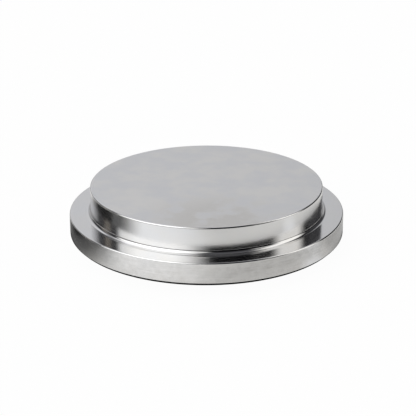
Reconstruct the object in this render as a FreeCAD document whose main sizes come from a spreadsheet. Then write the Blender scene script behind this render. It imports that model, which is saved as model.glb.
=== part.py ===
# Bevel seat end cap: the solid cap that closes one side of a bevel seat union.
# It is one turned piece of stainless steel. The neck stands in the mouth of the union nut, the nut
# pulls down on the rim's ledge, and the bevel round the nose seals in the ferrule's seat.
# Millimetres. +Z is the turning axis and points out of the union, from the nose to the neck's face.
# The origin is the centre of the nose's flat face, which the cap rests on.

import FreeCAD, Part
import math
import os
import Sketcher

SIZES = {
    # The neck has the diameter of the tube that the union joins.
    "neck_diameter": 50.8,
    "neck_height": 5.75,
    "rim_diameter": 60.0,
    "rim_height": 5.1,
    # The nose is widest where it meets the underside of the rim.
    "nose_diameter": 52.0,
    "nose_height": 2.25,
    # Degrees between the bevel and the turning axis.
    "bevel_angle": 45.0,
    # The concave corner between the neck and the ledge.
    "root_fillet": 0.9,
    # The small round that takes the burr off the neck's face and the rim's upper corner.
    "edge_round": 0.3,
    "rim_foot_chamfer": 0.6,
}

ledge_height = SIZES["nose_height"] + SIZES["rim_height"]
cap_height = ledge_height + SIZES["neck_height"]
neck_radius = SIZES["neck_diameter"] / 2
rim_radius = SIZES["rim_diameter"] / 2
nose_radius = SIZES["nose_diameter"] / 2
nose_face_radius = nose_radius - SIZES["nose_height"] * math.tan(math.radians(SIZES["bevel_angle"]))

# How near an edge must lie to the radius and height that it is looked up by.
SAME_PLACE = 1e-4


def add_sizes_sheet(document):
    """Put each driving dimension in a named cell of the document's spreadsheet."""
    sheet = document.addObject("Spreadsheet::Sheet", "Sizes")
    for row, (alias, value) in enumerate(SIZES.items(), start=1):
        sheet.set(f"A{row}", alias)
        sheet.set(f"B{row}", str(value))
        sheet.setAlias(f"B{row}", alias)
    document.recompute()


def origin_plane(body, role):
    """Find one of the body's own origin planes."""
    return next(plane for plane in body.Origin.OriginFeatures if plane.Role == role)


def add_dimension(sketch, name, kind, start, end, expression):
    """Hold the distance from one point of the sketch to another to a value from the sheet."""
    span = sketch.getPoint(*end) - sketch.getPoint(*start)
    drawn = span.x if kind == "DistanceX" else span.y
    index = sketch.addConstraint(Sketcher.Constraint(kind, *start, *end, drawn))
    sketch.renameConstraint(index, name)
    sketch.setExpression(f"Constraints.{name}", expression)


def draw_half_section(body):
    """Draw half of the cap's section beside the turning axis, with its corners still sharp."""
    sketch = body.newObject("Sketcher::SketchObject", "half_section")
    sketch.AttachmentSupport = [(origin_plane(body, "XZ_Plane"), "")]
    sketch.MapMode = "FlatFace"

    # Radius and height of each corner, from the origin outwards, up and back to the axis.
    corners = [
        FreeCAD.Vector(0, 0, 0),
        FreeCAD.Vector(nose_face_radius, 0, 0),
        FreeCAD.Vector(nose_radius, SIZES["nose_height"], 0),
        FreeCAD.Vector(rim_radius, SIZES["nose_height"], 0),
        FreeCAD.Vector(rim_radius, ledge_height, 0),
        FreeCAD.Vector(neck_radius, ledge_height, 0),
        FreeCAD.Vector(neck_radius, cap_height, 0),
        FreeCAD.Vector(0, cap_height, 0),
    ]
    for corner, following in zip(corners, corners[1:] + corners[:1]):
        sketch.addGeometry(Part.LineSegment(corner, following), False)
    nose_face, bevel, underside, rim_wall, ledge, neck_wall, neck_face, axis = range(len(corners))

    begin, finish = 1, 2
    origin = (-1, begin)
    for line in range(len(corners)):
        next_line = (line + 1) % len(corners)
        sketch.addConstraint(Sketcher.Constraint("Coincident", line, finish, next_line, begin))
    sketch.addConstraint(Sketcher.Constraint("Coincident", nose_face, begin, *origin))
    for flat in (nose_face, underside, ledge, neck_face):
        sketch.addConstraint(Sketcher.Constraint("Horizontal", flat))
    for upright in (rim_wall, neck_wall, axis):
        sketch.addConstraint(Sketcher.Constraint("Vertical", upright))

    radii = {"nose": bevel, "rim": rim_wall, "neck": neck_wall}
    for name, line in radii.items():
        half = f"Sizes.{name}_diameter / 2"
        add_dimension(sketch, f"{name}_radius", "DistanceX", origin, (line, finish), half)
    rises = {"nose": bevel, "rim": rim_wall, "neck": neck_wall}
    for name, line in rises.items():
        whole = f"Sizes.{name}_height"
        add_dimension(sketch, f"{name}_rise", "DistanceY", (line, begin), (line, finish), whole)
    run_across = "Sizes.nose_height * tan(Sizes.bevel_angle * 1 deg)"
    add_dimension(sketch, "bevel_run", "DistanceX", (bevel, begin), (bevel, finish), run_across)
    return sketch


def corner_edge(shape, radius, height):
    """Name the round edge that has this radius at this height."""
    for number, edge in enumerate(shape.Edges, start=1):
        circle = edge.Curve
        if not isinstance(circle, Part.Circle):
            continue
        off_radius = abs(circle.Radius - radius)
        off_height = abs(circle.Center.z - height)
        if max(off_radius, off_height) < SAME_PLACE:
            return f"Edge{number}"
    raise RuntimeError(f"no round edge of radius {radius} at height {height}")


def dress_corners(body, kind, name, size, corners):
    """Round or chamfer corners of the body as it stands, each found by its radius and height."""
    turned = body.Tip
    dressed = body.newObject(kind, name)
    dressed.Base = (turned, [corner_edge(turned.Shape, *corner) for corner in corners])
    dressed.setExpression("Radius" if kind == "PartDesign::Fillet" else "Size", f"Sizes.{size}")
    body.Tip = dressed
    body.Document.recompute()


def turn_end_cap(document):
    """Turn the cap about its axis, then dress its corners."""
    body = document.addObject("PartDesign::Body", "end_cap")
    body.Label = "end_cap"
    body.Placement = FreeCAD.Placement()

    section = draw_half_section(body)
    turning = body.newObject("PartDesign::Revolution", "turning")
    turning.Profile = section
    turning.ReferenceAxis = (section, ["V_Axis"])
    turning.Angle = 360
    body.Tip = turning
    document.recompute()

    neck_root = (neck_radius, ledge_height)
    face_corner = (neck_radius, cap_height)
    ledge_corner = (rim_radius, ledge_height)
    rim_foot = (rim_radius, SIZES["nose_height"])
    dress_corners(body, "PartDesign::Fillet", "neck_root", "root_fillet", [neck_root])
    dress_corners(body, "PartDesign::Fillet", "broken_edges", "edge_round", [face_corner, ledge_corner])
    dress_corners(body, "PartDesign::Chamfer", "rim_foot", "rim_foot_chamfer", [rim_foot])
    return body


def check_document(document, sub_parts):
    """Stop if any feature failed or any sub-part isn't one sound solid."""
    for item in document.Objects:
        if "Invalid" in item.State or "Error" in item.State:
            raise RuntimeError(f"{item.Name} failed: {item.State}")
    for sub_part in sub_parts:
        shape = sub_part.Shape
        if shape.isNull() or not shape.isValid() or len(shape.Solids) != 1:
            raise RuntimeError(f"{sub_part.Label} isn't one sound solid")


def main():
    document = FreeCAD.newDocument("bevel_seat_end_cap")
    add_sizes_sheet(document)
    end_cap = turn_end_cap(document)
    document.recompute()
    check_document(document, [end_cap])

    os.makedirs("parts", exist_ok=True)
    end_cap.Shape.exportStep(f"parts/{end_cap.Label}.step")
    print(f"{end_cap.Label}: {end_cap.Shape.Volume:.0f} cubic mm, box {end_cap.Shape.BoundBox}")


main()
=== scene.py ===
# The looks of the bevel seat end cap: one turned piece of stainless steel. The neck has a satin
# face and a finely turned wall, the root and the ledge are polished, the rim is brushed, the
# underside is faced and the nose's bevel is lapped.
# Metres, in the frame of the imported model: +Z is the turning axis and the nose's face is at zero.

import math

import bmesh
import bpy
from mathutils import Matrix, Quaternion, Vector


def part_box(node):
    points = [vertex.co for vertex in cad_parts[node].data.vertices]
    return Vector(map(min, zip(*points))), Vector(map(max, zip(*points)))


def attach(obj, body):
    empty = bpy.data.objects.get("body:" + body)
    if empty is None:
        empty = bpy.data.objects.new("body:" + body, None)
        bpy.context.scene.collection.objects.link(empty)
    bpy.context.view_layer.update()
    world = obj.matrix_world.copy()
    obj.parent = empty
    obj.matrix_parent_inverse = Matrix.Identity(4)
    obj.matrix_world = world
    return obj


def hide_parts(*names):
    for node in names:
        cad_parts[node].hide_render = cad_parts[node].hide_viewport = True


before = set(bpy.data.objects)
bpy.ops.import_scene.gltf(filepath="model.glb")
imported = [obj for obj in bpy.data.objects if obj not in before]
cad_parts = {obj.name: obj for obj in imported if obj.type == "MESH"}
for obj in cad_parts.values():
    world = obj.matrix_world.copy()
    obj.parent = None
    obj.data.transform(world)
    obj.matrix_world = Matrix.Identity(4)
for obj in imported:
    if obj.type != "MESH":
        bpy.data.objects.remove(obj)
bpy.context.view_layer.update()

MM = 0.001

# The cap's outer size comes from the frame, and the rest of its section repeats the part's sizes.
CAP_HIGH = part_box("end_cap")[1]
RIM_RADIUS = CAP_HIGH.x
CAP_HEIGHT = CAP_HIGH.z
NECK_RADIUS = 25.4 * MM
NECK_HEIGHT = 5.75 * MM
LEDGE_HEIGHT = CAP_HEIGHT - NECK_HEIGHT
NOSE_HEIGHT = 2.25 * MM
NOSE_RADIUS = 26.0 * MM
# The bevel is at 45 degrees, so it runs in as far as the nose is high.
NOSE_FACE_RADIUS = NOSE_RADIUS - NOSE_HEIGHT
ROOT_FILLET = 0.9 * MM
EDGE_ROUND = 0.3 * MM
RIM_FOOT_CHAMFER = 0.6 * MM

# How round the small corners are as the tool leaves them, and the upper edge of the rim's foot,
# which is worn more.
TOOLED_CORNER = 0.1 * MM
WORN_FOOT = 0.3 * MM

# How finely the mesh follows the shape: steps round the axis, steps over the root's curve, over a
# rounded edge and over a small corner, and rings that divide each flat disc.
STEPS_ROUND = 384
ROOT_STEPS = 14
EDGE_STEPS = 7
CORNER_STEPS = 3
DISC_RINGS = 6
# A ring this far from each curve keeps the flat beside it flat in its shading too.
FLAT_MARGIN = 0.03 * MM
# Faces that meet at more than this are shaded with a sharp edge between them.
SHARP_ANGLE = math.radians(30)


# Section of the cap

def rounded(before, corner, after, radius, steps):
    """Points of the arc of this radius that replaces a corner of the section."""
    back = (before - corner).normalized()
    ahead = (after - corner).normalized()
    half_turn = back.angle(ahead) / 2
    reach = radius / math.tan(half_turn)
    centre = corner + (back + ahead).normalized() * (radius / math.sin(half_turn))
    start = corner + back * reach - centre
    end = corner + ahead * reach - centre
    sweep = start.angle(end)
    points = []
    for step in range(steps + 1):
        share = step / steps
        arm = start * math.sin((1 - share) * sweep) + end * math.sin(share * sweep)
        points.append(centre + arm / math.sin(sweep))
    return points


def cap_section():
    """The cap's outline from the nose's centre to the neck face's centre.

    Each corner holds its radius and height, how round it is, in how many steps, and the finish of
    the stretch that leaves it. A rounded corner is itself polished. The result is the points and
    the finish of each stretch between them.
    """
    tooled = (TOOLED_CORNER, CORNER_STEPS)
    edge = (EDGE_ROUND, EDGE_STEPS)
    corners = [(0, 0, 0, 0, "faced")]
    for ring in range(1, DISC_RINGS):
        corners.append((NOSE_FACE_RADIUS * ring / DISC_RINGS, 0, 0, 0, "faced"))
    corners += [
        (NOSE_FACE_RADIUS, 0, *tooled, "lapped"),
        (NOSE_RADIUS, NOSE_HEIGHT, *tooled, "faced"),
        (RIM_RADIUS - RIM_FOOT_CHAMFER, NOSE_HEIGHT, *tooled, "polished"),
        (RIM_RADIUS, NOSE_HEIGHT + RIM_FOOT_CHAMFER, WORN_FOOT, CORNER_STEPS, "brushed"),
        (RIM_RADIUS, LEDGE_HEIGHT, *edge, "polished"),
        (NECK_RADIUS, LEDGE_HEIGHT, ROOT_FILLET, ROOT_STEPS, "turned"),
        (NECK_RADIUS, CAP_HEIGHT, *edge, "satin"),
    ]
    for ring in range(DISC_RINGS - 1, -1, -1):
        corners.append((NECK_RADIUS * ring / DISC_RINGS, CAP_HEIGHT, 0, 0, "satin"))
    spots = [Vector((radius, height)) for radius, height, *_ in corners]
    points, finishes = [], []
    for index, (_, _, roundness, steps, finish) in enumerate(corners):
        if steps:
            arc = rounded(spots[index - 1], spots[index], spots[index + 1], roundness, steps)
            back = (spots[index - 1] - spots[index]).normalized() * FLAT_MARGIN
            ahead = (spots[index + 1] - spots[index]).normalized() * FLAT_MARGIN
            points += [arc[0] + back, *arc, arc[-1] + ahead]
            finishes += [finishes[-1]] + ["polished"] * steps + [finish, finish]
        else:
            points.append(spots[index])
            finishes.append(finish)
    return points, finishes[:-1]


def turned_cap(materials):
    """Spin the section about the turning axis, each stretch in the material of its finish."""
    points, finishes = cap_section()
    slots = list(materials)
    mesh = bpy.data.meshes.new("turned_end_cap")
    shape = bmesh.new()
    rings = []
    for point in points:
        if point.x == 0:
            rings.append([shape.verts.new((0, 0, point.y))])
            continue
        ring = []
        for step in range(STEPS_ROUND):
            angle = 2 * math.pi * step / STEPS_ROUND
            spot = (point.x * math.cos(angle), point.x * math.sin(angle), point.y)
            ring.append(shape.verts.new(spot))
        rings.append(ring)
    for lower, upper, finish in zip(rings, rings[1:], finishes):
        for step in range(STEPS_ROUND):
            following = (step + 1) % STEPS_ROUND
            if len(lower) == 1:
                corners = [lower[0], upper[following], upper[step]]
            elif len(upper) == 1:
                corners = [lower[step], lower[following], upper[0]]
            else:
                corners = [lower[step], lower[following], upper[following], upper[step]]
            face = shape.faces.new(corners)
            face.smooth = True
            face.material_index = slots.index(finish)
    shape.to_mesh(mesh)
    shape.free()
    mesh.set_sharp_from_angle(angle=SHARP_ANGLE)
    for material in materials.values():
        mesh.materials.append(material)
    cap = bpy.data.objects.new("turned_end_cap", mesh)
    bpy.context.scene.collection.objects.link(cap)
    return cap


# Helpers for nodes

def feed(tree, socket, source):
    """Give an input a value or another node's output."""
    if isinstance(source, bpy.types.NodeSocket):
        tree.links.new(source, socket)
    else:
        socket.default_value = source


def place(tree, kind, feeds=None, **options):
    """Add a node with its options, and feed its inputs, each by its name or number."""
    node = tree.nodes.new(kind)
    for name, value in options.items():
        setattr(node, name, value)
    for socket, source in (feeds or {}).items():
        feed(tree, node.inputs[socket], source)
    return node


def reckon(tree, operation, *values, clamp=False):
    """Work out one number from others with a Math node."""
    feeds = dict(enumerate(values))
    return place(tree, "ShaderNodeMath", feeds, operation=operation, use_clamp=clamp).outputs[0]


def eased(tree, value, start, end, low=0.0, high=1.0):
    """Carry a value smoothly from low to high as it passes from start to end."""
    feeds = {"Value": value, "From Min": start, "From Max": end, "To Min": low, "To Max": high}
    node = place(tree, "ShaderNodeMapRange", feeds, interpolation_type="SMOOTHSTEP")
    return node.outputs["Result"]


def blended(tree, share, first, second):
    """Mix two colours."""
    node = place(tree, "ShaderNodeMix", data_type="RGBA")
    for name, source in (("Factor_Float", share), ("A_Color", first), ("B_Color", second)):
        feed(tree, next(item for item in node.inputs if item.identifier == name), source)
    return next(item for item in node.outputs if item.identifier == "Result_Color")


def noise(tree, where, scale, **sizes):
    """Soft noise at this place and scale, from 0 to 1."""
    feeds = {"Vector": where, "Scale": scale, **sizes}
    return place(tree, "ShaderNodeTexNoise", feeds).outputs["Fac"]


def distance(tree, where, middle):
    """How far a place is from this middle."""
    feeds = {0: where, 1: middle}
    return place(tree, "ShaderNodeVectorMath", feeds, operation="DISTANCE").outputs["Value"]


def new_group(name, inputs, outputs):
    """Start a node group with number inputs, given with their usual values, and number outputs."""
    tree = bpy.data.node_groups.new(name, "ShaderNodeTree")
    kind = "NodeSocketFloat"
    for label, value in inputs.items():
        socket = tree.interface.new_socket(name=label, in_out="INPUT", socket_type=kind)
        socket.default_value = value
    for label in outputs:
        tree.interface.new_socket(name=label, in_out="OUTPUT", socket_type=kind)
    return tree, tree.nodes.new("NodeGroupInput").outputs, tree.nodes.new("NodeGroupOutput").inputs


def grouped(tree, group, **sources):
    """Place a group and feed its inputs; an input's name is written with _ for each space."""
    node = place(tree, "ShaderNodeGroup", node_tree=group)
    for name, source in sources.items():
        feed(tree, node.inputs[name.replace("_", " ")], source)
    return node.outputs


def axis_coordinates(tree):
    """Position, distance from the turning axis, height, and the direction round the axis."""
    position = place(tree, "ShaderNodeTexCoord").outputs["Object"]
    across, along, height = place(tree, "ShaderNodeSeparateXYZ", {0: position}).outputs
    flat = place(tree, "ShaderNodeCombineXYZ", {"X": across, "Y": along}).outputs[0]
    radius = place(tree, "ShaderNodeVectorMath", {0: flat}, operation="LENGTH")
    round_way = place(tree, "ShaderNodeVectorMath", {0: flat}, operation="NORMALIZE")
    return position, radius.outputs["Value"], height, round_way.outputs[0]


# Effects that the finishes share

def lathe_lines_group():
    """Fine lines that run round the axis, as a turning tool or an abrasive belt leaves them."""
    tree, given, result = new_group(
        "lathe_lines",
        {"Spacing": 0.2 * MM, "Reach Round": 3.0, "Detail": 3.0},
        ["Height", "Tone"],
    )
    # Heights count a little more than radii, so that a 45 degree chamfer has lines too.
    height_weight = 1.37
    # Coarse lines are shorter round the axis than the fine ones, and further apart.
    coarse_stretch = (5.3, 2.1, 0.27)
    coarse_share = 0.5
    # The noise hardly leaves this range, which the tone stretches to the whole of 0 to 1.
    noise_low, noise_high = 0.3, 0.7
    _, radius, height, round_way = axis_coordinates(tree)
    course = reckon(tree, "MULTIPLY_ADD", height, height_weight, radius)
    line = reckon(tree, "DIVIDE", course, given["Spacing"])
    feeds = {0: round_way, "Scale": given["Reach Round"]}
    sweep = place(tree, "ShaderNodeVectorMath", feeds, operation="SCALE").outputs[0]
    x, y, _ = place(tree, "ShaderNodeSeparateXYZ", {0: sweep}).outputs
    where = place(tree, "ShaderNodeCombineXYZ", {"X": x, "Y": y, "Z": line}).outputs[0]
    fine = noise(tree, where, 1.0, Roughness=0.6, Detail=given["Detail"])
    feeds = {0: where, 1: coarse_stretch}
    coarse_at = place(tree, "ShaderNodeVectorMath", feeds, operation="MULTIPLY").outputs[0]
    coarse = noise(tree, coarse_at, 1.0, Detail=2.0)
    both = reckon(tree, "MULTIPLY", fine, 1 - coarse_share)
    both = reckon(tree, "MULTIPLY_ADD", coarse, coarse_share, both)
    feed(tree, result["Height"], fine)
    feed(tree, result["Tone"], eased(tree, both, noise_low, noise_high))
    return tree


def handling_haze_group():
    """Soft clouds and specks, as handling and cleaning leave them on bare steel."""
    sizes = {"Cloud Size": 8 * MM, "Speck Size": 0.5 * MM}
    tree, given, result = new_group("handling_haze", sizes, ["Cloud", "Speck"])
    noise_low, noise_high = 0.32, 0.68
    position, *_ = axis_coordinates(tree)
    for label, detail in (("Cloud", 3.0), ("Speck", 2.0)):
        scale = reckon(tree, "DIVIDE", 1.0, given[f"{label} Size"])
        spots = noise(tree, position, scale, Detail=detail)
        feed(tree, result[label], eased(tree, spots, noise_low, noise_high))
    return tree


def worn_edge_group():
    """Where handling has polished the metal beside a round edge."""
    tree, given, result = new_group(
        "worn_edge",
        {"Edge Radius": RIM_RADIUS, "Edge Height": LEDGE_HEIGHT, "Reach": 0.5 * MM},
        ["Wear"],
    )
    nicks_per_metre = 700.0
    # The reach varies along the edge, from half of what is given to half as much again.
    least_reach = 0.5
    position, radius, height, _ = axis_coordinates(tree)
    off_radius = reckon(tree, "SUBTRACT", radius, given["Edge Radius"])
    off_height = reckon(tree, "SUBTRACT", height, given["Edge Height"])
    squares = [reckon(tree, "MULTIPLY", off, off) for off in (off_radius, off_height)]
    gap = reckon(tree, "SQRT", reckon(tree, "ADD", *squares))
    ragged = reckon(tree, "ADD", noise(tree, position, nicks_per_metre, Detail=2.0), least_reach)
    reach = reckon(tree, "MULTIPLY", given["Reach"], ragged)
    near = reckon(tree, "SUBTRACT", 1.0, reckon(tree, "DIVIDE", gap, reach), clamp=True)
    feed(tree, result["Wear"], near)
    return tree


def hairlines_group():
    """Sparse short scratches in several directions on a flat face."""
    sizes = {"Length": 9 * MM, "Width": 0.12 * MM}
    tree, given, result = new_group("hairlines", sizes, ["Scratch"])
    directions = (17, 64, 118, 151)
    # Only the highest ridges of the noise are scratches.
    ridge_foot, ridge_top = 0.66, 0.74
    position, *_ = axis_coordinates(tree)
    total = 0.0
    for degrees in directions:
        feeds = {"Vector": position, "Angle": math.radians(degrees)}
        turned = place(tree, "ShaderNodeVectorRotate", feeds, rotation_type="Z_AXIS").outputs[0]
        x, y, _ = place(tree, "ShaderNodeSeparateXYZ", {0: turned}).outputs
        along = reckon(tree, "DIVIDE", x, given["Length"])
        beside = reckon(tree, "DIVIDE", y, given["Width"])
        # Each direction takes a layer of the noise of its own.
        feeds = {"X": along, "Y": beside, "Z": float(degrees)}
        spot = place(tree, "ShaderNodeCombineXYZ", feeds).outputs[0]
        line = eased(tree, noise(tree, spot, 1.0, Detail=1.0), ridge_foot, ridge_top)
        total = reckon(tree, "MAXIMUM", total, line)
    feed(tree, result["Scratch"], total)
    return tree


LATHE_LINES = lathe_lines_group()
HANDLING_HAZE = handling_haze_group()
WORN_EDGE = worn_edge_group()
HAIRLINES = hairlines_group()


# Finishes of the steel

STEEL = (0.655, 0.65, 0.642, 1)
STEEL_COOL = (0.648, 0.65, 0.655, 1)
STEEL_WARM = (0.665, 0.656, 0.64, 1)
STEEL_BRIGHT = (0.74, 0.735, 0.728, 1)
BRUSHED = (0.565, 0.563, 0.557, 1)
BRUSHED_WARM = (0.58, 0.571, 0.557, 1)
SATIN_WARM = (0.712, 0.705, 0.688, 1)
SATIN_COOL = (0.668, 0.672, 0.682, 1)
# A smudge's colour, which also serves as painted shade at the front of the neck's face.
SATIN_SMUDGE_AND_SHADE = (0.6, 0.588, 0.565, 1)

# Lines round the axis spread a reflection square to themselves, a quarter turn from their own way.
QUARTER_TURN = 0.25


def steel_material(name, anisotropic=0.0):
    """A bare metal shader, with its reflections spread across the lines round the axis."""
    material = bpy.data.materials.new(name)
    material.use_nodes = True
    tree = material.node_tree
    shader = tree.nodes["Principled BSDF"]
    shader.inputs["Metallic"].default_value = 1
    shader.inputs["Anisotropic"].default_value = anisotropic
    if anisotropic:
        shader.inputs["Anisotropic Rotation"].default_value = QUARTER_TURN
        tangent = place(tree, "ShaderNodeTangent", direction_type="RADIAL", axis="Z")
        feed(tree, shader.inputs["Tangent"], tangent.outputs[0])
    return material, tree, shader


def brightened(tree, color, mask, share):
    """Lay this share of the bright steel over a colour where the mask is full."""
    return blended(tree, reckon(tree, "MULTIPLY", mask, share), color, STEEL_BRIGHT)


def add_bump(tree, shader, height, depth):
    """Give the surface relief of this depth."""
    feeds = {"Height": height, "Distance": depth, "Strength": 1.0}
    feed(tree, shader.inputs["Normal"], place(tree, "ShaderNodeBump", feeds).outputs[0])


def satin_neck_face():
    """The neck's flat face: satin, soft clouds, a front smudge that is also painted shade,
    hairlines.
    """
    material, tree, shader = steel_material("satin_neck_face")
    haze = grouped(tree, HANDLING_HAZE, Cloud_Size=5.5 * MM, Speck_Size=0.35 * MM)
    lines = grouped(tree, LATHE_LINES, Spacing=0.3 * MM, Reach_Round=2.0, Detail=3.0)
    scratches = grouped(tree, HAIRLINES, Length=8 * MM, Width=0.15 * MM)["Scratch"]
    # A smudge lies at the front, and it is also painted shade that darkens the front of the face:
    # its middle, and how far from there it is full and gone. It breaks up in the cool clouds, down
    # to this share of itself.
    smudge_shade_spot = (2 * MM, -22 * MM, CAP_HEIGHT)
    smudge_shade_full, smudge_shade_gone = 4 * MM, 19 * MM
    cloud_starts, cloud_full, smudge_shade_in_cloud = 0.15, 0.85, 0.15
    speck_shine = 0.12
    roughness, cloud_roughness, line_roughness, scratch_roughness = 0.33, 0.05, 0.02, 0.05
    scratch_height, relief_depth = -0.3, 0.0006 * MM

    clouded = blended(tree, haze["Cloud"], SATIN_WARM, SATIN_COOL)
    position = place(tree, "ShaderNodeTexCoord").outputs["Object"]
    off_smudge_shade = distance(tree, position, smudge_shade_spot)
    smudge_shade = eased(tree, off_smudge_shade, smudge_shade_full, smudge_shade_gone, 1.0, 0.0)
    broken = eased(tree, haze["Cloud"], cloud_starts, cloud_full, 1.0, smudge_shade_in_cloud)
    smudge_shade = reckon(tree, "MULTIPLY", smudge_shade, broken)
    # A smudge and painted shade darken the front of the face.
    clouded = blended(tree, smudge_shade, clouded, SATIN_SMUDGE_AND_SHADE)
    feed(tree, shader.inputs["Base Color"], brightened(tree, clouded, haze["Speck"], speck_shine))
    tone = reckon(tree, "MULTIPLY_ADD", haze["Cloud"], cloud_roughness, roughness)
    tone = reckon(tree, "MULTIPLY_ADD", lines["Tone"], line_roughness, tone)
    tone = reckon(tree, "MULTIPLY_ADD", scratches, scratch_roughness, tone)
    feed(tree, shader.inputs["Roughness"], tone)
    relief = reckon(tree, "MULTIPLY_ADD", scratches, scratch_height, lines["Height"])
    add_bump(tree, shader, relief, relief_depth)
    return material


def lined_steel(
    name, colors, *, anisotropic, line_spacing, line_reach, line_detail, line_shine, line_depth,
    roughness, line_roughness, speck_roughness=0.0, cloud_size=0.0, speck_size=0.0,
    worn_edge=None, wear_reach=0.0, wear_shine=0.0,
):
    """A finish with lines round the axis, and with clouds and a worn edge where they are given.

    The clouds lie between two colours. The worn edge is a radius and a height. A shine is the
    share of bright steel on a line or at the worn edge.
    """
    material, tree, shader = steel_material(name, anisotropic)
    lines = grouped(
        tree, LATHE_LINES, Spacing=line_spacing, Reach_Round=line_reach, Detail=line_detail
    )
    color = colors[0]
    tone = reckon(tree, "MULTIPLY_ADD", lines["Tone"], line_roughness, roughness)
    if cloud_size:
        haze = grouped(tree, HANDLING_HAZE, Cloud_Size=cloud_size, Speck_Size=speck_size)
        color = blended(tree, haze["Cloud"], *colors)
        tone = reckon(tree, "MULTIPLY_ADD", haze["Speck"], speck_roughness, tone)
    color = brightened(tree, color, lines["Tone"], line_shine)
    if worn_edge:
        radius, height = worn_edge
        wear = grouped(tree, WORN_EDGE, Edge_Radius=radius, Edge_Height=height, Reach=wear_reach)
        color = brightened(tree, color, wear["Wear"], wear_shine)
    feed(tree, shader.inputs["Base Color"], color)
    feed(tree, shader.inputs["Roughness"], tone)
    add_bump(tree, shader, lines["Height"], line_depth)
    return material


def polished_ledge():
    """The ledge, the root and the rounded edges, worn bright towards the rim's upper edge."""
    return lined_steel(
        "polished_ledge_and_root", (STEEL, STEEL_COOL), anisotropic=0.5,
        line_spacing=0.25 * MM, line_reach=4.0, line_detail=2.0, line_shine=0.2,
        line_depth=0.0004 * MM, roughness=0.105, line_roughness=0.02, speck_roughness=0.015,
        cloud_size=5 * MM, speck_size=0.4 * MM,
        worn_edge=(RIM_RADIUS, LEDGE_HEIGHT), wear_reach=0.4 * MM, wear_shine=0.4,
    )


def turned_neck():
    """The neck's wall, finely turned and worn bright towards its upper edge."""
    return lined_steel(
        "fine_turned_neck", (STEEL, STEEL_COOL), anisotropic=0.75,
        line_spacing=0.25 * MM, line_reach=4.0, line_detail=2.0, line_shine=0.2,
        line_depth=0.0006 * MM, roughness=0.145, line_roughness=0.02, speck_roughness=0.015,
        cloud_size=4 * MM, speck_size=0.4 * MM,
        worn_edge=(NECK_RADIUS, CAP_HEIGHT), wear_reach=0.5 * MM, wear_shine=0.4,
    )


def brushed_rim():
    """The rim's outer face, brushed round and worn a little towards its upper edge."""
    return lined_steel(
        "brushed_rim", (BRUSHED_WARM, BRUSHED), anisotropic=0.7,
        line_spacing=0.45 * MM, line_reach=5.0, line_detail=3.0, line_shine=0.6,
        line_depth=0.0004 * MM, roughness=0.17, line_roughness=0.06,
        cloud_size=6 * MM, speck_size=0.4 * MM,
        worn_edge=(RIM_RADIUS, LEDGE_HEIGHT), wear_reach=0.6 * MM, wear_shine=0.2,
    )


def faced_underside():
    """The underside and the nose's face, as the facing tool leaves them."""
    return lined_steel(
        "faced_underside", (STEEL_WARM, STEEL_COOL), anisotropic=0.6,
        line_spacing=0.35 * MM, line_reach=1.0, line_detail=1.0, line_shine=0.3,
        line_depth=0.004 * MM, roughness=0.32, line_roughness=0.08,
        cloud_size=9 * MM, speck_size=0.5 * MM,
    )


def lapped_bevel():
    """The nose's bevel, lapped to seal and worn bright towards the underside."""
    return lined_steel(
        "lapped_bevel", (STEEL,), anisotropic=0.5,
        line_spacing=0.12 * MM, line_reach=8.0, line_detail=2.0, line_shine=0.25,
        line_depth=0.0005 * MM, roughness=0.2, line_roughness=0.05,
        worn_edge=(NOSE_RADIUS, NOSE_HEIGHT), wear_reach=0.4 * MM, wear_shine=0.4,
    )


cap = turned_cap({
    "faced": faced_underside(),
    "lapped": lapped_bevel(),
    "polished": polished_ledge(),
    "turned": turned_neck(),
    "brushed": brushed_rim(),
    "satin": satin_neck_face(),
})
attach(cap, "root")
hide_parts("end_cap")


# Floor

FLOOR_RADIUS = 0.7
FLOOR_SIDES = 96

# The camera and the steel see the floor as white of its own for this share. The rest is its colour
# as it is lit, with the cap's shadow.
WHITE_TO_CAMERA = 0.97
WHITE_TO_STEEL = 0.6
WHITE = (1, 1, 1, 1)
MIRRORED_WHITE = (1.02, 1.01, 0.99, 1)
FLOOR_COLOR = (0.88, 0.88, 0.87, 1)

# Round patches of painted light and painted shade on the floor, which only the steel mirrors: each
# one's middle, and how far from it the patch is solid and gone.
# Painted dark reflections: a dark patch with a black patch on it lies at the cap's left.
PAINTED_DARK_PATCH = ((-49 * MM, -2 * MM, 0), 14 * MM, 35 * MM)
PAINTED_BLACK_PATCH = ((-47 * MM, 1.5 * MM, 0), 8 * MM, 13 * MM)
DARK_LIGHT = 0.12
BLACK_LIGHT = 0.005
# Painted shade: a wide patch at the front right and a small one at the right side, both only near
# the cap. The wide one is thinner close to the rim, and where it meets the small one.
RIGHT_SHADE = ((20 * MM, -10 * MM, 0), 30 * MM, 42 * MM)
SIDE_SHADE = ((37 * MM, 2 * MM, 0), 8 * MM, 18 * MM)
NEAR_CAP = ((0, 0, 0), 43 * MM, 50 * MM)
CLEAR_OF_CAP = ((0, 0, 0), 35 * MM, 43 * MM)
SHADE_LIGHT = 0.3
RIGHT_SHADE_SHARE = 0.56
SIDE_SHADE_SHARE = 0.48
CLEARED_SHARE = 0.6
RIGHT_SHARE_IN_SIDE = 0.6
# Painted light: a bright patch at the front left, under the softbox, and two painted gleams at the
# right.
PAINTED_BRIGHT_PATCH = ((-40 * MM, -60 * MM, 0), 21 * MM, 51 * MM)
RIGHT_GLEAM = ((42 * MM, -19 * MM, 0), 2 * MM, 8 * MM)
NEAR_GLEAM = ((27 * MM, -18 * MM, 0), 2.5 * MM, 7 * MM)
GLEAM_COLOR = (0.93, 0.98, 1.08, 1)
GLEAM_LIGHT = 0.3
# To the steel the floor is painted black under the rim, a painted shadow, and outside a wide patch.
RIM_SHADE = ((0, 0, 0), 31.6 * MM, 33.2 * MM)
FLOOR_SEEN = ((0, 150 * MM, 0), 194 * MM, 264 * MM)


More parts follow.
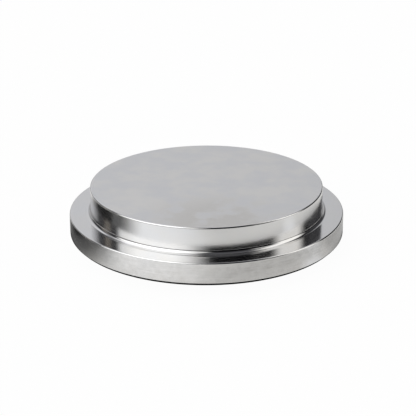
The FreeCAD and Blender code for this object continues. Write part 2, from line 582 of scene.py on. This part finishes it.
def floor_surface(tree):
    """White with the cap's soft shadow, and with painted light and painted shade that only the
    steel mirrors.
    """
    path = place(tree, "ShaderNodeLightPath").outputs
    to_camera, to_steel = path["Is Camera Ray"], path["Is Glossy Ray"]
    position = place(tree, "ShaderNodeTexCoord").outputs["Object"]

    def mirrored(middle, solid, gone):
        shape = eased(tree, distance(tree, position, middle), solid, gone, 1.0, 0.0)
        return reckon(tree, "MULTIPLY", shape, to_steel)

    def glow(**feeds):
        return place(tree, "ShaderNodeEmission", feeds).outputs[0]

    def covered(surface, share, cover):
        return place(tree, "ShaderNodeMixShader", {0: share, 1: surface, 2: cover}).outputs[0]

    white_share = reckon(tree, "MULTIPLY", to_steel, WHITE_TO_STEEL)
    white_share = reckon(tree, "MULTIPLY_ADD", to_camera, WHITE_TO_CAMERA, white_share)
    matt = place(tree, "ShaderNodeBsdfDiffuse", {"Color": FLOOR_COLOR}).outputs[0]
    white = glow(Color=blended(tree, to_steel, WHITE, MIRRORED_WHITE))
    surface = covered(matt, white_share, white)

    # Painted shade that only the steel mirrors.
    cleared = reckon(tree, "MULTIPLY", mirrored(*CLEAR_OF_CAP), CLEARED_SHARE)
    right = reckon(tree, "SUBTRACT", mirrored(*RIGHT_SHADE), cleared, clamp=True)
    right = reckon(tree, "MULTIPLY", right, RIGHT_SHADE_SHARE)
    side = reckon(tree, "MULTIPLY", mirrored(*SIDE_SHADE), SIDE_SHADE_SHARE)
    both = reckon(tree, "MULTIPLY_ADD", right, RIGHT_SHARE_IN_SIDE, side)
    shade = reckon(tree, "MAXIMUM", right, both)
    shade = reckon(tree, "MULTIPLY", shade, mirrored(*NEAR_CAP))
    surface = covered(surface, shade, glow(Strength=SHADE_LIGHT))

    # Painted light: the bright patch and the gleams, which only the steel mirrors.
    gleam = reckon(tree, "ADD", mirrored(*RIGHT_GLEAM), mirrored(*NEAR_GLEAM))
    gleam = reckon(tree, "MULTIPLY", gleam, GLEAM_LIGHT)
    gleam = reckon(tree, "MULTIPLY_ADD", mirrored(*PAINTED_BRIGHT_PATCH), GLEAM_LIGHT, gleam)
    bright = glow(Color=GLEAM_COLOR, Strength=gleam)
    surface = place(tree, "ShaderNodeAddShader", {0: surface, 1: bright}).outputs[0]

    # Painted dark reflections at the cap's left, seen only by the steel.
    surface = covered(surface, mirrored(*PAINTED_DARK_PATCH), glow(Strength=DARK_LIGHT))
    # Painted black under the rim and far off, seen only by the steel.
    far = reckon(tree, "SUBTRACT", to_steel, mirrored(*FLOOR_SEEN))
    black = reckon(tree, "MAXIMUM", mirrored(*PAINTED_BLACK_PATCH), mirrored(*RIM_SHADE))
    black = reckon(tree, "MAXIMUM", black, far)
    return covered(surface, black, glow(Strength=BLACK_LIGHT))


def pale_floor():
    """A round white floor under the cap."""
    bpy.ops.mesh.primitive_circle_add(
        vertices=FLOOR_SIDES, radius=FLOOR_RADIUS, fill_type="NGON", location=(0, 0, 0)
    )
    floor = bpy.context.object
    floor.name = "pale_floor"
    material = bpy.data.materials.new("pale_floor")
    material.use_nodes = True
    tree = material.node_tree
    tree.nodes.clear()
    place(tree, "ShaderNodeOutputMaterial", {"Surface": floor_surface(tree)})
    floor.data.materials.append(material)


pale_floor()


# Studio

def panel_group():
    """The soft-edged outline of a panel round the studio, in degrees; its sides may lean."""
    tree, given, result = new_group(
        "studio_panel",
        {
            "Azimuth": 0.0, "Elevation": 0.0,
            "Left": -30.0, "Left Lean": 0.0, "Right": 30.0, "Right Lean": 0.0,
            "Low": 10.0, "High": 60.0,
            "Left Blur": 5.0, "Right Blur": 5.0, "End Blur": 4.0,
        },
        ["Panel"],
    )
    azimuth, elevation = given["Azimuth"], given["Elevation"]
    left = reckon(tree, "MULTIPLY_ADD", elevation, given["Left Lean"], given["Left"])
    right = reckon(tree, "MULTIPLY_ADD", elevation, given["Right Lean"], given["Right"])
    insides = [
        (reckon(tree, "SUBTRACT", azimuth, left), given["Left Blur"]),
        (reckon(tree, "SUBTRACT", right, azimuth), given["Right Blur"]),
        (reckon(tree, "SUBTRACT", elevation, given["Low"]), given["End Blur"]),
        (reckon(tree, "SUBTRACT", given["High"], elevation), given["End Blur"]),
    ]
    total = 1.0
    for inside, blur in insides:
        share = eased(tree, inside, reckon(tree, "MULTIPLY", blur, -1), blur)
        total = reckon(tree, "MULTIPLY", total, share)
    feed(tree, result["Panel"], total)
    return tree


def studio_sky(tree):
    """Soft panels round the cap. Azimuth is zero towards the camera and grows to its right."""
    direction = place(tree, "ShaderNodeTexCoord").outputs["Generated"]
    x, y, z = place(tree, "ShaderNodeSeparateXYZ", {0: direction}).outputs
    azimuth = reckon(tree, "ARCTAN2", x, reckon(tree, "MULTIPLY", y, -1))
    azimuth = reckon(tree, "DEGREES", azimuth)
    elevation = reckon(tree, "DEGREES", reckon(tree, "ARCSINE", z))
    group = panel_group()

    def panel(way=azimuth, **sizes):
        return grouped(tree, group, Azimuth=way, Elevation=elevation, **sizes)["Panel"]

    dim = (0.002, 0.002, 0.003, 1)
    overhead = (0.11, 0.11, 0.118, 1)
    backdrop_left = (0.775, 0.78, 0.805, 1)
    backdrop_right = (0.65, 0.655, 0.675, 1)
    backdrop_top = (1.0, 1.0, 1.02, 1)
    high_left = (1.4, 1.4, 1.42, 1)
    high_gap = (0.2, 0.2, 0.21, 1)
    low_grey = (0.055, 0.055, 0.06, 1)
    warm_patch = (0.3, 0.27, 0.24, 1)
    low_left = (0.4, 0.4, 0.41, 1)
    low_right = (0.06, 0.06, 0.065, 1)
    low_back = (0.5, 0.5, 0.51, 1)
    horizon_haze = (0.07, 0.07, 0.07, 1)
    horizon_glow = (0.5, 0.5, 0.5, 1)
    softbox = (1.5, 1.5, 1.49, 1)
    softbox_core = (2.1, 2.1, 2.09, 1)
    softbox_bulge = (1.3, 1.3, 1.29, 1)
    panel_light = (1.4, 1.38, 1.34, 1)
    panel_wing = (0.8, 0.79, 0.77, 1)

    overhead_share = eased(tree, elevation, 26.0, 72.0)
    right_share = eased(tree, x, -0.25, 0.25)
    top_share = eased(tree, elevation, 26.0, 46.0)
    sky = blended(tree, overhead_share, dim, overhead)
    backdrop = blended(tree, right_share, backdrop_left, backdrop_right)
    backdrop = blended(tree, top_share, backdrop, backdrop_top)
    # The low panel at the back is the same on both sides.
    either_way = reckon(tree, "ABSOLUTE", azimuth)

    # Each layer covers those before it. The backdrop is in two halves that meet straight behind.
    layers = [
        (backdrop, panel(
            Left=171.0, Left_Lean=-0.4, Right=400.0, Low=0.0, High=62.0,
            Left_Blur=8.0, End_Blur=12.0,
        )),
        (backdrop, panel(
            Left=-400.0, Right=-161.0, Right_Lean=1.0, Low=0.0, High=62.0,
            Right_Blur=18.0, End_Blur=12.0,
        )),
        (high_left, panel(Left=-150.0, Right=-95.0, Low=41.0, High=80.0, End_Blur=5.0)),
        (high_gap, panel(Left=-166.0, Right=-130.0, Low=37.5, High=49.0, End_Blur=3.0)),
        (low_grey, panel(Left=-134.0, Right=-98.0, Low=-5.0, High=32.0)),
        (warm_patch, panel(
            Left=-119.0, Right=-109.0, Low=5.0, High=27.0, Left_Blur=3.0, Right_Blur=3.0,
        )),
        (low_left, panel(Left=-152.0, Right=-138.0, Low=-10.0, High=15.0)),
        (low_right, panel(Left=118.0, Right=156.0, Low=8.0, High=32.0)),
        (low_back, panel(either_way, Left=146.0, Right=200.0, Low=-5.0, High=12.0)),
        (horizon_haze, panel(Left=-90.0, Right=-12.0, Low=-90.0, High=12.0)),
        (horizon_glow, panel(
            Left=-64.0, Right=-24.0, Low=-90.0, High=12.0, Left_Blur=8.0, Right_Blur=8.0,
        )),
        (softbox, panel(
            Left=-87.0, Left_Lean=-0.4, Right=-2.6, Right_Lean=-0.2, Low=12.0, High=77.0,
            Left_Blur=5.0, Right_Blur=14.0, End_Blur=6.0,
        )),
        (softbox_core, panel(
            Left=-79.0, Left_Lean=-0.1, Right=-23.0, Low=12.0, High=62.0,
            Left_Blur=12.0, Right_Blur=13.0, End_Blur=6.0,
        )),
        (panel_light, panel(
            Left=66.0, Left_Lean=0.25, Right=91.0, Right_Lean=0.7, Low=5.0, High=64.0,
            Left_Blur=8.0, Right_Blur=8.0, End_Blur=6.0,
        )),
        (panel_wing, panel(
            Left=50.0, Right=78.0, Low=33.0, High=45.0, Right_Blur=8.0, End_Blur=3.0,
        )),
        (softbox_bulge, panel(Left=-24.0, Right=1.0, Low=32.0, High=47.0, Right_Blur=6.0)),
    ]
    for color, share in layers:
        sky = blended(tree, share, sky, color)
    return sky


def studio_world():
    """Light the cap with the studio's sky, and show the camera plain white behind it."""
    world = bpy.data.worlds.new("studio")
    bpy.context.scene.world = world
    world.use_nodes = True
    tree = world.node_tree
    tree.nodes.clear()
    studio = place(tree, "ShaderNodeBackground", {"Color": studio_sky(tree)}).outputs[0]
    white = place(tree, "ShaderNodeBackground", {"Color": WHITE}).outputs[0]
    to_camera = place(tree, "ShaderNodeLightPath").outputs["Is Camera Ray"]
    mix = place(tree, "ShaderNodeMixShader", {0: to_camera, 1: studio, 2: white}).outputs[0]
    place(tree, "ShaderNodeOutputWorld", {"Surface": mix})


LAMP_WIDTH = 0.5
LAMP_HEIGHT = 0.6
LAMP_WATTS = 0.2


def overhead_lamp():
    """A wide lamp straight above, for the floor; the steel doesn't mirror it."""
    light = bpy.data.lights.new("overhead_lamp", "AREA")
    light.shape = "DISK"
    light.size = LAMP_WIDTH
    light.energy = LAMP_WATTS
    lamp = bpy.data.objects.new("overhead_lamp", light)
    lamp.location = (0, 0, LAMP_HEIGHT)
    lamp.visible_glossy = False
    lamp.visible_camera = False
    bpy.context.scene.collection.objects.link(lamp)


studio_world()
overhead_lamp()


# Camera: it stands in front of the cap, 22.66 degrees above the level of the rim's underside, and
# aims a little above the middle of the rim, which puts the cap where the photo has it.

PHOTO_WIDTH = 416
FOCAL_PIXELS = 1363.8
SENSOR_WIDTH = 36
CAMERA_DISTANCE = 10.07 * RIM_RADIUS
CAMERA_ELEVATION = math.radians(22.66)
CAMERA_ROLL = math.radians(-0.17)
AIM_POINT = Vector((0.33 * MM, 0, NOSE_HEIGHT + 5.04 * MM))


def photo_camera():
    """A camera with the photo's view of the cap."""
    camera_data = bpy.data.cameras.new("camera")
    camera_data.sensor_width = SENSOR_WIDTH
    camera_data.lens = FOCAL_PIXELS / PHOTO_WIDTH * SENSOR_WIDTH
    camera = bpy.data.objects.new("camera", camera_data)
    bpy.context.scene.collection.objects.link(camera)
    outwards = Vector((0, -math.cos(CAMERA_ELEVATION), math.sin(CAMERA_ELEVATION)))
    camera.location = Vector((0, 0, NOSE_HEIGHT)) + CAMERA_DISTANCE * outwards
    sight = (AIM_POINT - camera.location).to_track_quat("-Z", "Y")
    camera.rotation_mode = "QUATERNION"
    camera.rotation_quaternion = sight @ Quaternion((0, 0, 1), CAMERA_ROLL)
    return camera


bpy.context.scene.camera = photo_camera()
bpy.context.scene.view_settings.view_transform = "Standard"
